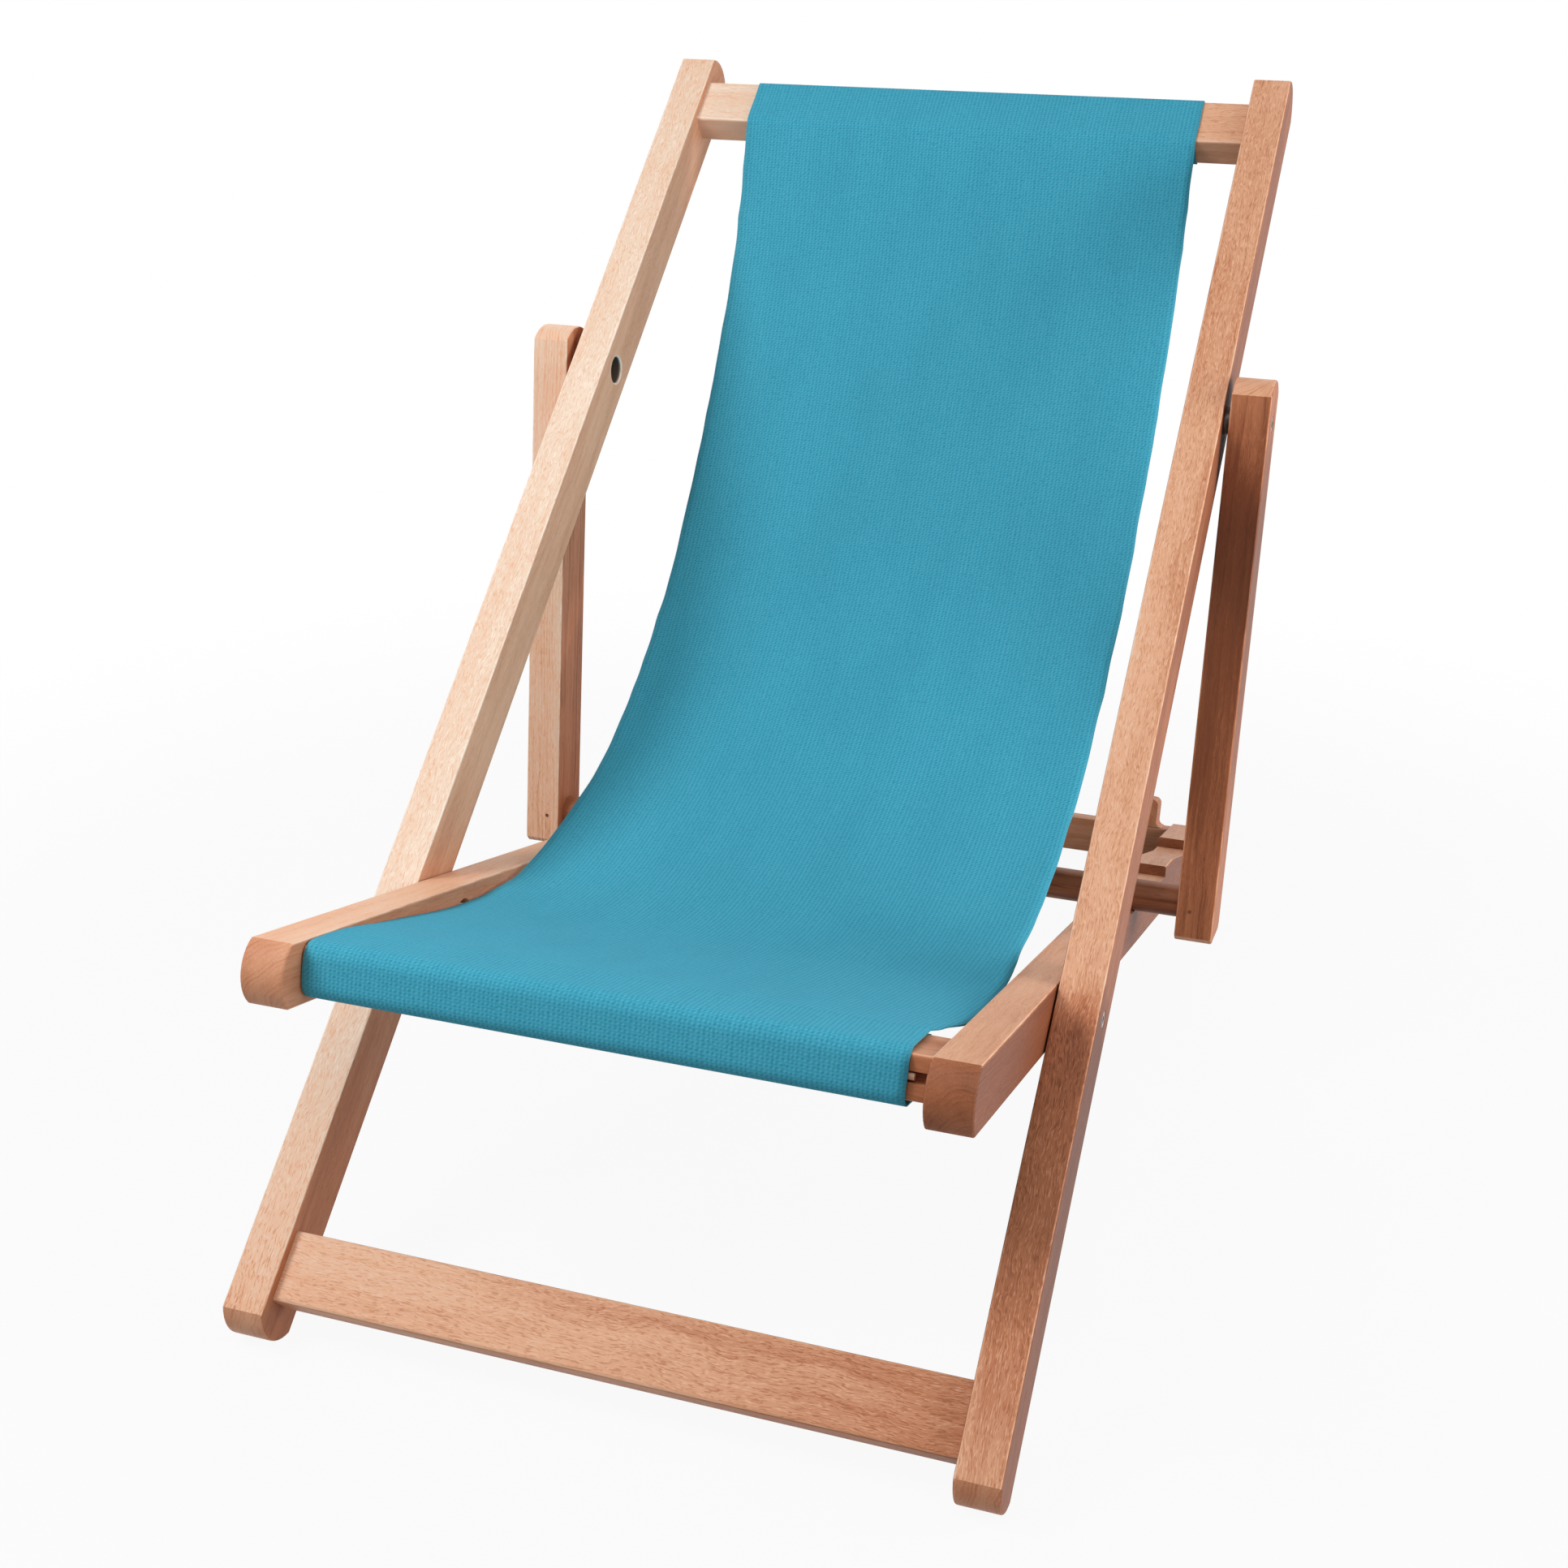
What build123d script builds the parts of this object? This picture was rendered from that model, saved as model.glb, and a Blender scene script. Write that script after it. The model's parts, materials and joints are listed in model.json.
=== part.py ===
from build123d import *
import math
import os

# Folding wooden deck chair with a hung cloth sling.
# Sizes in millimetres, angles in degrees.
# The chair faces -Y, +X is the sitter's left hand, and the floor is Z = 0.

# Sticks: the long members of all three frames
stick_width = 29.0
outer_depth = 45.0
seat_depth = 41.0
strut_depth = 45.0
tip_rise = 10.5
stick_edge = 1.5

# Outer frame: lengths along its rails from the seat pivot, bars from the rails' tips
outer_clear = 455.0
outer_up = 804.0
outer_down = 312.0
strut_pivot_up = 478.0
top_bar_from_tip = 51.0
foot_board_from_tip = 46.0
foot_board_height = 47.0
foot_board_thick = 22.0
foot_board_inset = 7.2
top_bar_width = 42.0
top_bar_thick = 25.5
top_bar_inset = 5.4

# Rounding of the cross bars' long edges
bar_edge = 2.5

# Seat frame: lengths along its rails from the seat pivot, bars from the rails' tips
recline = 55.5
seat_gap = 1.0
seat_nose = 241.0
seat_tail = 770.0
rest_flat = 40.0
front_bar_from_nose = 24.0
front_bar_width = 46.0
front_bar_thick = 28.0
front_bar_inset = 3.5
rear_bar_from_tail = 20.0
rear_bar_thick = 25.0
rear_bar_height = 33.0
rear_bar_inset = 1.0

# Notches in the seat rails: a wall, a short floor and a long ramp
notch_count = 3
notch_wall = 338.0
notch_pitch = 162.0
notch_deep = 9.0
notch_floor = 27.0
notch_ramp = 93.0

# Stop blocks standing on the rear bar, near its ends
stop_width = 30.0
stop_from_rail = 12.0
stop_tall = 27.0
stop_round = 6.0
stop_foot = 5.0
stop_lip = 0.5

# Support frame: two struts and the dowel that drops into a notch
strut_gap = 4.5
strut_above = 32.0
strut_below = 25.0
strut_foot_edge = 4.0
dowel_size = 25.0
dowel_play = 0.4
dowel_in = 20.0
dowel_fit = 0.05
brad_size = 2.0
brad_head = 2.8
brad_head_thick = 0.4
brad_long = 30.0

# Joinery of the cross bars
tenon_long = 12.0
tenon_shoulder = 6.0
tenon_fit = 0.1

# Pivot hardware
bolt_size = 8.0
bolt_run = 0.075
bolt_head = 12.0
bolt_head_thick = 4.0
bolt_head_edge = 0.8
bolt_head_sunk = 0.3
bolt_head_play = 0.15
socket_flats = 5.0
socket_deep = 2.4
nut_flats = 13.0
nut_thick = 5.5
nut_pocket = 21.0
nut_pocket_edge = 1.0
seat_pocket_deep = 9.0
strut_pocket_deep = 17.0
nut_play = 0.2
bolt_past_nut = 1.0
washer_size = 24.0
washer_play = 0.1
washer_bore_play = 0.1
spacer_size = 20.0

# Sling of plain canvas
sling_margin = 10.5
sling_thick = 1.2
sling_play = 0.4
sling_steps = 16
rod_size = 4.4
rod_short = 1.0
slot_high = 7.2
slot_deep = 9.0
rod_play = 0.4

# Where the sling hangs: along the outer rail from the seat pivot, and in front of the rail's centre line
sling_hang = [
    (664.0, -32.0),
    (611.0, -61.5),
    (492.0, -107.0),
    (365.0, -138.0),
    (227.0, -136.0),
    (141.0, -106.0),
    (67.0, -61.0),
    (14.0, -4.5),
    (-41.0, 82.0),
]


def turned(point, angle):
    """A side-view point turned about the seat pivot."""
    c = math.cos(math.radians(angle))
    s = math.sin(math.radians(angle))
    return (point[0] * c - point[1] * s, point[0] * s + point[1] * c)


# Standing angle: the round foot of the outer rail touches the floor and the seat rail lies on its rest flat
outer_half = outer_depth / 2
seat_half = seat_depth / 2
strut_half = strut_depth / 2
foot_radius = (outer_half**2 + tip_rise**2) / (2 * tip_rise)
foot_centre = -outer_down + foot_radius
rest_start = seat_tail - rest_flat
rest_corner = turned((rest_start, -seat_half), -recline)
lean_a = foot_centre - rest_corner[0]
lean_b = -rest_corner[1]
lean = math.degrees(math.atan2(lean_a, lean_b) + math.acos(foot_radius / math.hypot(lean_a, lean_b)))
seat_slope = recline - lean
pivot_height = foot_radius - foot_centre * math.sin(math.radians(lean))

# The dowel sits in the first notch, and the strut runs from its pivot through the dowel
dowel_radius = dowel_size / 2
dowel_along = notch_wall - dowel_radius - dowel_play
dowel_above = seat_half - notch_deep + dowel_radius + dowel_play
dowel_place = turned((dowel_along, dowel_above), -recline)
strut_run_x = dowel_place[0] - strut_pivot_up
strut_run_y = dowel_place[1]
strut_long = math.hypot(strut_run_x, strut_run_y)
strut_angle = math.degrees(math.atan2(strut_run_y, strut_run_x))

# Widths across the chair, from the middle plane
outer_in = outer_clear / 2
outer_out = outer_in + stick_width
seat_out = outer_in - seat_gap
seat_in = seat_out - stick_width
strut_in = outer_out + strut_gap
strut_out = strut_in + stick_width
sling_reach = seat_in - sling_margin

# Floor middle: half way between the front of the foot and the back of the seat rail's tail
foot_y = foot_centre * math.cos(math.radians(lean)) - foot_radius
tail_radius = (seat_half**2 + tip_rise**2) / (2 * tip_rise)
tail_y = (seat_tail - tail_radius) * math.cos(math.radians(seat_slope)) + tail_radius
pivot_y = -(foot_y + tail_y) / 2


def side_frame(along, above, angle):
    """Side-view plane with +X out of the page, its first axis at an angle above +Y."""
    a = math.radians(angle)
    return Plane(origin=(0, along, above), x_dir=(0, math.cos(a), math.sin(a)), z_dir=(1, 0, 0))


outer_frame = side_frame(pivot_y, pivot_height, lean)
seat_frame = side_frame(pivot_y, pivot_height, -seat_slope)
strut_top = turned((strut_pivot_up, 0), lean)
strut_frame = side_frame(pivot_y + strut_top[0], pivot_height + strut_top[1], lean + strut_angle)


def slab(face, frame, x_from, x_to):
    """A side-view face of one frame given its width across the chair."""
    base = Plane(origin=frame.origin + Vector(x_from, 0, 0), x_dir=frame.x_dir, z_dir=frame.z_dir)
    return extrude(base * face, amount=x_to - x_from)


def round_bar(frame, along, above, size, x_from, x_to):
    """A cylinder across the chair."""
    return slab(Pos(along, above) * Circle(size / 2), frame, x_from, x_to)


def block(frame, low, high, bottom, top, x_from, x_to):
    """A plain box across the chair."""
    face = Pos((low + high) / 2, (bottom + top) / 2) * Rectangle(high - low, top - bottom)
    return slab(face, frame, x_from, x_to)


def eased(piece):
    """Round the long edges of a stick, on its two side faces."""
    sides = piece.faces().sort_by(Axis.X)
    edges = sides[0].edges() + sides[-1].edges()
    return fillet(edges, stick_edge)


def bar_face(low, high, bottom, top, edge):
    """Section of a cross bar with rounded edges."""
    return Pos((low + high) / 2, (bottom + top) / 2) * RectangleRounded(high - low, top - bottom, edge)


def cross_bar(frame, low, high, bottom, top, reach):
    """A cross bar with a tenon at each end."""
    bar = slab(bar_face(low, high, bottom, top, bar_edge), frame, -reach, reach)
    sh = tenon_shoulder
    end = reach + tenon_long
    return bar + block(frame, low + sh, high - sh, bottom + sh, top - sh, -end, end)


def mortise(frame, low, high, bottom, top, reach):
    """The pocket for one tenon in the +X rail."""
    sh = tenon_shoulder - tenon_fit
    deep = tenon_long + 2 * tenon_fit
    return block(frame, low + sh, high - sh, bottom + sh, top - sh, reach - deep, reach + deep)


def both(piece):
    """A piece and its mirror image as a group."""
    return Compound(children=[piece, mirror(piece, about=Plane.YZ)])


def single(shape):
    """The one solid of a shape."""
    return shape.solids()[0]


def nut(frame, along, x_from, x_to):
    """A hexagon nut with its threaded bore taken to the bolt's surface."""
    face = Pos(along, 0) * (RegularPolygon(nut_flats / 2, 6, major_radius=False) - Circle(bolt_size / 2))
    return slab(face, frame, x_from, x_to)


def bolt(frame, along, outside, end):
    """A socket bolt across the chair, its head sunk just below the outside of a stick."""
    top = outside - bolt_head_sunk
    head = round_bar(frame, along, 0, bolt_head, top - bolt_head_thick, top)
    head = fillet(head.edges().sort_by(Axis.X)[-1], bolt_head_edge)
    socket = Pos(along, 0) * RegularPolygon(socket_flats / 2, 6, major_radius=False)
    head -= slab(socket, frame, top - socket_deep, top + 1)
    shank_top = top - (bolt_head_thick + socket_deep) / 2
    return head + round_bar(frame, along, 0, bolt_size, end, shank_top)


bolt_hole = bolt_size + 2 * bolt_run
head_hole = bolt_head + 2 * bolt_head_play
head_deep = bolt_head_sunk + bolt_head_thick

# Places of the cross bars in their frames
top_middle = outer_up - top_bar_from_tip
top_low = top_middle - top_bar_width / 2
top_high = top_middle + top_bar_width / 2
top_front = outer_half - top_bar_inset
top_back = top_front - top_bar_thick
foot_middle = -outer_down + foot_board_from_tip
foot_low = foot_middle - foot_board_height / 2
foot_high = foot_middle + foot_board_height / 2
foot_front = outer_half - foot_board_inset
foot_back = foot_front - foot_board_thick
front_low = -seat_nose + front_bar_from_nose
front_high = front_low + front_bar_width
front_top = seat_half - front_bar_inset
front_bottom = front_top - front_bar_thick
rear_high = seat_tail - rear_bar_from_tail
rear_low = rear_high - rear_bar_thick
rear_top = seat_half - rear_bar_inset
rear_bottom = rear_top - rear_bar_height


def round_stick(low, high, half):
    """Side view of a stick with a rounded tip at each end."""
    crease_low = low + tip_rise
    crease_high = high - tip_rise
    tip_low = ThreePointArc((crease_low, half), (low, 0), (crease_low, -half))
    tip_high = ThreePointArc((crease_high, -half), (high, 0), (crease_high, half))
    under = Line((crease_low, -half), (crease_high, -half))
    over = Line((crease_high, half), (crease_low, half))
    return make_face([tip_low, under, tip_high, over])


# Outer rails
outer_rail = eased(slab(round_stick(-outer_down, outer_up, outer_half), outer_frame, outer_in, outer_out))
outer_rail -= round_bar(outer_frame, 0, 0, bolt_hole, outer_in - 1, outer_out + 1)
outer_rail -= round_bar(outer_frame, 0, 0, head_hole, outer_out - head_deep, outer_out + 1)
outer_rail -= round_bar(outer_frame, strut_pivot_up, 0, bolt_hole, outer_in - 1, outer_out + 1)
outer_rail -= round_bar(outer_frame, strut_pivot_up, 0, nut_pocket, outer_in - 1, outer_in + strut_pocket_deep)
pocket_mouth = Plane(
    origin=outer_frame.from_local_coords((strut_pivot_up, 0, outer_in)),
    x_dir=outer_frame.x_dir,
    z_dir=outer_frame.z_dir,
)
pocket_rim = Circle(nut_pocket / 2 + nut_pocket_edge)
outer_rail -= extrude(pocket_mouth * pocket_rim, amount=nut_pocket_edge, taper=45)
outer_rail -= mortise(outer_frame, top_low, top_high, top_back, top_front, outer_in)
outer_rail -= mortise(outer_frame, foot_low, foot_high, foot_back, foot_front, outer_in)
outer_rail = single(outer_rail)

# Bars of the outer frame
top_bar = single(cross_bar(outer_frame, top_low, top_high, top_back, top_front, outer_in))
foot_board = single(cross_bar(outer_frame, foot_low, foot_high, foot_back, foot_front, outer_in))

# Seat rails: round tips, notched top edge, tail cut flat to the floor
seat_rail = eased(slab(round_stick(-seat_nose, seat_tail, seat_half), seat_frame, seat_in, seat_out))
rest_rise = rest_flat * math.tan(math.radians(seat_slope))
rest_line = Polyline(
    (rest_start - rest_flat, -seat_half - rest_rise),
    (seat_tail + rest_flat, -seat_half + 2 * rest_rise),
    (seat_tail + rest_flat, -seat_half - rest_rise),
    close=True,
)
seat_rail -= slab(make_face(rest_line), seat_frame, seat_in - 1, seat_out + 1)
for step in range(notch_count):
    wall = notch_wall + step * notch_pitch
    floor = seat_half - notch_deep
    notch_line = Polyline(
        (wall, seat_half + 1),
        (wall, floor),
        (wall - notch_floor, floor),
        (wall - notch_floor - notch_ramp, seat_half),
        (wall - notch_floor - notch_ramp, seat_half + 1),
        close=True,
    )
    seat_rail -= slab(make_face(notch_line), seat_frame, seat_in - 1, seat_out + 1)
seat_rail -= round_bar(seat_frame, 0, 0, bolt_hole, seat_in - 1, seat_out + 1)
seat_rail -= round_bar(seat_frame, 0, 0, nut_pocket, seat_in - 1, seat_in + seat_pocket_deep)
seat_rail -= mortise(seat_frame, front_low, front_high, front_bottom, front_top, seat_in)
seat_rail -= mortise(seat_frame, rear_low, rear_high, rear_bottom, rear_top, seat_in)
seat_rail = single(seat_rail)

# Bars of the seat frame, the front one slotted for the sling's rod
slot_middle = (front_top + front_bottom) / 2
front_bar = cross_bar(seat_frame, front_low, front_high, front_bottom, front_top, seat_in)
front_bar -= block(
    seat_frame,
    front_low - 1,
    front_low + slot_deep,
    slot_middle - slot_high / 2,
    slot_middle + slot_high / 2,
    -seat_in - tenon_long,
    seat_in + tenon_long,
)
front_bar = single(front_bar)
rear_bar = single(cross_bar(seat_frame, rear_low, rear_high, rear_bottom, rear_top, seat_in))
rod_along = front_low + rod_play + rod_size / 2
rod_reach = sling_reach - rod_short
front_rod = single(round_bar(seat_frame, rod_along, slot_middle, rod_size, -rod_reach, rod_reach))

# Stop blocks: upright, flush with the rear bar's faces, with rounded tops and a small hollow foot outside
stop_out = seat_in - stop_from_rail
stop_in = stop_out - stop_width
stop_face = Pos((stop_in + stop_out) / 2, stop_tall / 2) * Rectangle(stop_width, stop_tall)
stop_face = fillet(stop_face.vertices().sort_by(Axis.Y)[-2:], stop_round)
hollow = stop_foot * math.sqrt(0.5)
foot_corner = (stop_out + stop_foot, stop_foot + stop_lip)
foot_line = Polyline(
    (stop_out, foot_corner[1]),
    (stop_out, 0),
    (foot_corner[0], 0),
    (foot_corner[0], stop_lip),
)
foot_arc = ThreePointArc(
    (foot_corner[0], stop_lip),
    (foot_corner[0] - hollow, foot_corner[1] - hollow),
    (stop_out, foot_corner[1]),
)
stop_face += make_face([foot_line, foot_arc])
stop_plane = Plane(
    origin=seat_frame.from_local_coords((rear_high, rear_top, 0)),
    x_dir=(1, 0, 0),
    z_dir=-seat_frame.x_dir,
)
stop_block = single(extrude(stop_plane * stop_face, amount=rear_bar_thick))

# Struts, with a hole for the dowel and one for its brad
strut_start = -strut_above
strut_end = strut_long + strut_below
strut_crease = strut_start + tip_rise
strut_arc = ThreePointArc((strut_crease, strut_half), (strut_start, 0), (strut_crease, -strut_half))
strut_rest = Polyline(
    (strut_crease, -strut_half),
    (strut_end - strut_foot_edge, -strut_half),
    (strut_end, -strut_half + strut_foot_edge),
    (strut_end, strut_half - strut_foot_edge),
    (strut_end - strut_foot_edge, strut_half),
    (strut_crease, strut_half),
)
strut_face = make_face([strut_arc, strut_rest])
strut = eased(slab(strut_face, strut_frame, strut_in, strut_out))
strut -= round_bar(strut_frame, 0, 0, bolt_hole, strut_in - 1, strut_out + 1)
strut -= round_bar(strut_frame, 0, 0, head_hole, strut_out - head_deep - washer_play, strut_out + 1)
dowel_reach = strut_in + dowel_in
dowel_hole = dowel_size + 2 * dowel_fit
strut -= round_bar(strut_frame, strut_long, 0, dowel_hole, strut_in - 1, dowel_reach + dowel_fit)
brad_x = strut_in + dowel_in / 2


def front_pin(size, start, long):
    """A round pin driven into the strut's front face at the dowel."""
    place = Plane(
        origin=strut_frame.from_local_coords((strut_long, -strut_half + start, brad_x)),
        z_dir=strut_frame.y_dir,
    )
    return extrude(place * Circle(size / 2), amount=long)


brad_hole = brad_size + 2 * dowel_fit
strut -= front_pin(brad_hole, -1, strut_half + 1)
strut = single(strut)
dowel = round_bar(strut_frame, strut_long, 0, dowel_size, -dowel_reach, dowel_reach)
dowel_pit = front_pin(brad_hole, 0, brad_long + dowel_fit)
dowel -= dowel_pit
dowel -= mirror(dowel_pit, about=Plane.YZ)
dowel = single(dowel)
brad = single(front_pin(brad_size, 0, brad_long) + front_pin(brad_head, -brad_head_thick, brad_head_thick))

# Pivot hardware of the seat: heads sunk in the outer rails, nuts in the seat rails
seat_nut_back = seat_in + seat_pocket_deep - nut_play
seat_nut_front = seat_nut_back - nut_thick
seat_bolt = single(bolt(outer_frame, 0, outer_out, seat_nut_front - bolt_past_nut))
seat_nut = single(nut(outer_frame, 0, seat_nut_front, seat_nut_back))
washer_face = Circle(washer_size / 2) - Circle(bolt_size / 2 + washer_bore_play)
seat_washer = single(slab(washer_face, outer_frame, seat_out + washer_play, outer_in))

# Pivot hardware of the struts: heads sunk in the struts, nuts in the outer rails
strut_nut_back = outer_in + strut_pocket_deep
strut_nut_front = strut_nut_back - nut_thick
strut_bolt_end = strut_nut_front - bolt_past_nut
strut_bolt = single(bolt(outer_frame, strut_pivot_up, strut_out, strut_bolt_end))
strut_nut = single(nut(outer_frame, strut_pivot_up, strut_nut_front, strut_nut_back))
spacer_face = Pos(strut_pivot_up, 0) * (Circle(spacer_size / 2) - Circle(bolt_size / 2 + washer_bore_play))
strut_spacer = single(slab(spacer_face, outer_frame, outer_out, strut_in - washer_play))

# Sling: a hem round each bar and one hung sheet between them
hem_in = sling_play
hem_out = sling_play + sling_thick


def hem_face(low, high, bottom, top, away):
    """Section of a bar grown by the hem's distance from it."""
    return bar_face(low - away, high + away, bottom - away, top + away, bar_edge + away)


top_hem = hem_face(top_low, top_high, top_back, top_front, hem_out)
top_space = hem_face(top_low, top_high, top_back, top_front, hem_in)
front_hem = Rot(0, 0, -recline) * hem_face(front_low, front_high, front_bottom, front_top, hem_out)
front_space = Rot(0, 0, -recline) * hem_face(front_low, front_high, front_bottom, front_top, hem_in)
sling_mid = sling_play + sling_thick / 2
sling_start = (top_low + bar_edge, top_front + sling_mid)
sling_end = turned((front_high - bar_edge, front_top + sling_mid), -recline)
sling_line = Spline(sling_start, *sling_hang, sling_end)
upper = []
lower = []
for step in range(sling_steps + 1):
    part = step / sling_steps
    middle = sling_line @ part
    across = (sling_line % part).rotate(Axis.Z, 90) * (sling_thick / 2)
    upper.append(middle + across)
    lower.append(middle - across)
sling_upper = Spline(*upper)
sling_lower = Spline(*lower)
sling_sheet = make_face(
    [sling_upper, Line(upper[-1], lower[-1]), sling_lower, Line(lower[0], upper[0])]
)
sling_face = sling_sheet + top_hem + front_hem - top_space - front_space
sling = single(slab(sling_face, outer_frame, -sling_reach, sling_reach))

# One file per piece
pieces = {
    "left_outer_rail": outer_rail,
    "right_outer_rail": mirror(outer_rail, about=Plane.YZ),
    "top_bar": top_bar,
    "foot_board": foot_board,
    "left_seat_rail": seat_rail,
    "right_seat_rail": mirror(seat_rail, about=Plane.YZ),
    "front_bar": front_bar,
    "rear_bar": rear_bar,
    "front_sling_rod": front_rod,
    "left_stop_block": stop_block,
    "right_stop_block": mirror(stop_block, about=Plane.YZ),
    "left_strut": strut,
    "right_strut": mirror(strut, about=Plane.YZ),
    "strut_dowel": dowel,
    "dowel_brads": both(brad),
    "seat_pivot_bolts": both(seat_bolt),
    "seat_pivot_nuts": both(seat_nut),
    "seat_pivot_washers": both(seat_washer),
    "strut_pivot_bolts": both(strut_bolt),
    "strut_pivot_nuts": both(strut_nut),
    "strut_pivot_spacers": both(strut_spacer),
    "sling": sling,
}
os.makedirs("parts", exist_ok=True)
for name, shape in pieces.items():
    export_step(shape, "parts/" + name + ".step")
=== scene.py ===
import json
import math

import bpy
from mathutils import Matrix, Vector, noise
from mathutils.geometry import interpolate_bezier


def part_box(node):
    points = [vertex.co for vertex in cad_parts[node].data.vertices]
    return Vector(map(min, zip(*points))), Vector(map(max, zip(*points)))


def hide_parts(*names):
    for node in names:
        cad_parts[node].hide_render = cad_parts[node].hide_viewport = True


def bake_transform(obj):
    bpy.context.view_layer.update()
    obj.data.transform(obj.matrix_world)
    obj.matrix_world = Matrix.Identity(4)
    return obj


# Folding wooden deck chair: beech frames, steel pivots and a hung canvas sling.
# Metres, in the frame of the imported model: the chair faces -Y and the floor is Z = 0.
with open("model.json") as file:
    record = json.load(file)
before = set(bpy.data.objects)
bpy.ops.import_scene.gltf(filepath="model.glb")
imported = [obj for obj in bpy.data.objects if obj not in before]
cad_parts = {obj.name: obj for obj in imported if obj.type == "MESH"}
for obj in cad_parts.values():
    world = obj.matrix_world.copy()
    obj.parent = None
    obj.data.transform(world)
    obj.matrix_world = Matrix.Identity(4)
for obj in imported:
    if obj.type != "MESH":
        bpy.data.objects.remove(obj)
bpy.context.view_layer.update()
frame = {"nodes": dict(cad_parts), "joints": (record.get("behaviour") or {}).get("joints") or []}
scene = bpy.context.scene
MM = 0.001

# Camera of the photograph
CAMERA_PLACE = Vector((0.4380, -1.4500, 0.8793))
CAMERA_AIM = Vector((0.0, -0.1322, 0.2923))
CAMERA_ROLL = math.radians(0.646)
CAMERA_LENS = 48.8
CAMERA_SENSOR = 36.0

# Side view of the frames: the lean of the outer rails comes from the pivots
joints = {joint["name"]: Vector(joint["pos_m"]) for joint in frame["joints"]}
SEAT_PIVOT = joints["seat_fold"]
STRUT_PIVOT = joints["strut_fold"]
RECLINE = math.radians(55.5)
RAIL_RUN = STRUT_PIVOT - SEAT_PIVOT
LEAN = math.atan2(RAIL_RUN.z, RAIL_RUN.y)


def side_axes(angle):
    """Turn that takes Y along a stick at this angle above the floor, seen from the side."""
    return Matrix.Rotation(angle, 4, "X")


def strut_axes():
    """Axes of the struts, from their pivot towards the dowel."""
    low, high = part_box("strut_dowel")
    run = (low + high) / 2 - STRUT_PIVOT
    return Matrix.Translation(STRUT_PIVOT) @ side_axes(math.atan2(run.z, run.y))


OUTER = Matrix.Translation(SEAT_PIVOT) @ side_axes(LEAN)
SEAT = Matrix.Translation(SEAT_PIVOT) @ side_axes(LEAN - RECLINE)
STRUT = strut_axes()


def local_box(node, axes):
    """Lowest and highest corner of a CAD node in tilted axes."""
    turn = axes.inverted()
    points = [turn @ vertex.co for vertex in frame["nodes"][node].data.vertices]
    low = Vector(tuple(min(p[i] for p in points) for i in range(3)))
    high = Vector(tuple(max(p[i] for p in points) for i in range(3)))
    return low, high


class Nodes:
    """A node tree, with short calls for the nodes used here."""

    def __init__(self, tree):
        self.tree = tree

    def plug(self, socket, value):
        """Wire a socket to another one, or set its value."""
        if isinstance(value, bpy.types.NodeSocket):
            self.tree.links.new(value, socket)
        elif value is not None:
            socket.default_value = value

    def add(self, kind, inputs=(), **settings):
        """A new node with its settings and inputs."""
        node = self.tree.nodes.new(kind)
        for name, value in settings.items():
            setattr(node, name, value)
        for name, value in dict(inputs).items():
            self.plug(node.inputs[name], value)
        return node

    def math(self, operation, a, b=None, c=None):
        node = self.add("ShaderNodeMath", operation=operation)
        for socket, value in zip(node.inputs, (a, b, c)):
            self.plug(socket, value)
        return node.outputs[0]

    def times(self, a, b):
        return self.math("MULTIPLY", a, b)

    def minus(self, a, b):
        return self.math("SUBTRACT", a, b)

    def total(self, first, *others):
        """Sum of several values."""
        for other in others:
            first = self.math("ADD", first, other)
        return first

    def span(self, value, low, high, to_low=0.0, to_high=1.0, kind="LINEAR"):
        """Straight line from low to high, held level beyond them."""
        node = self.add("ShaderNodeMapRange", interpolation_type=kind)
        places = ("Value", "From Min", "From Max", "To Min", "To Max")
        for name, entry in zip(places, (value, low, high, to_low, to_high)):
            self.plug(node.inputs[name], entry)
        return node.outputs[0]

    def step(self, *entries):
        """Smooth step from low to high, given as for a span."""
        return self.span(*entries, kind="SMOOTHSTEP")

    def ramp(self, value, stops):
        """Colour by a value, from a list of values and colours."""
        low, high = stops[0][0], stops[-1][0]
        node = self.add("ShaderNodeValToRGB")
        self.plug(node.inputs[0], self.span(value, low, high))
        elements = node.color_ramp.elements
        elements[0].color = (*stops[0][1], 1)
        elements[-1].color = (*stops[-1][1], 1)
        for place, colour in stops[1:-1]:
            elements.new((place - low) / (high - low)).color = (*colour, 1)
        return node.outputs[0]

    def vector(self, x, y, z):
        return self.add("ShaderNodeCombineXYZ", {"X": x, "Y": y, "Z": z}).outputs[0]

    def parts(self, vector):
        return self.add("ShaderNodeSeparateXYZ", {"Vector": vector}).outputs[:3]

    def vector_math(self, operation, a, b=None):
        node = self.add("ShaderNodeVectorMath", operation=operation)
        for socket, value in zip(node.inputs, (a, b)):
            self.plug(socket, value)
        return node.outputs["Value" if operation in ("LENGTH", "DOT_PRODUCT") else "Vector"]

    def noise(self, vector, stretch=(1, 1, 1), detail=2.0, rough=0.5):
        """Noise with its own frequency along each axis."""
        inputs = {"Detail": detail, "Roughness": rough, "Scale": 1.0}
        inputs["Vector"] = self.vector_math("MULTIPLY", vector, stretch)
        return self.add("ShaderNodeTexNoise", inputs).outputs[0]

    def mix(self, share, a, b):
        """Colour between two others."""
        node = self.add("ShaderNodeMix", data_type="RGBA")
        self.plug(node.inputs[0], share)
        self.plug(node.inputs[6], a)
        self.plug(node.inputs[7], b)
        return node.outputs[2]


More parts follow.
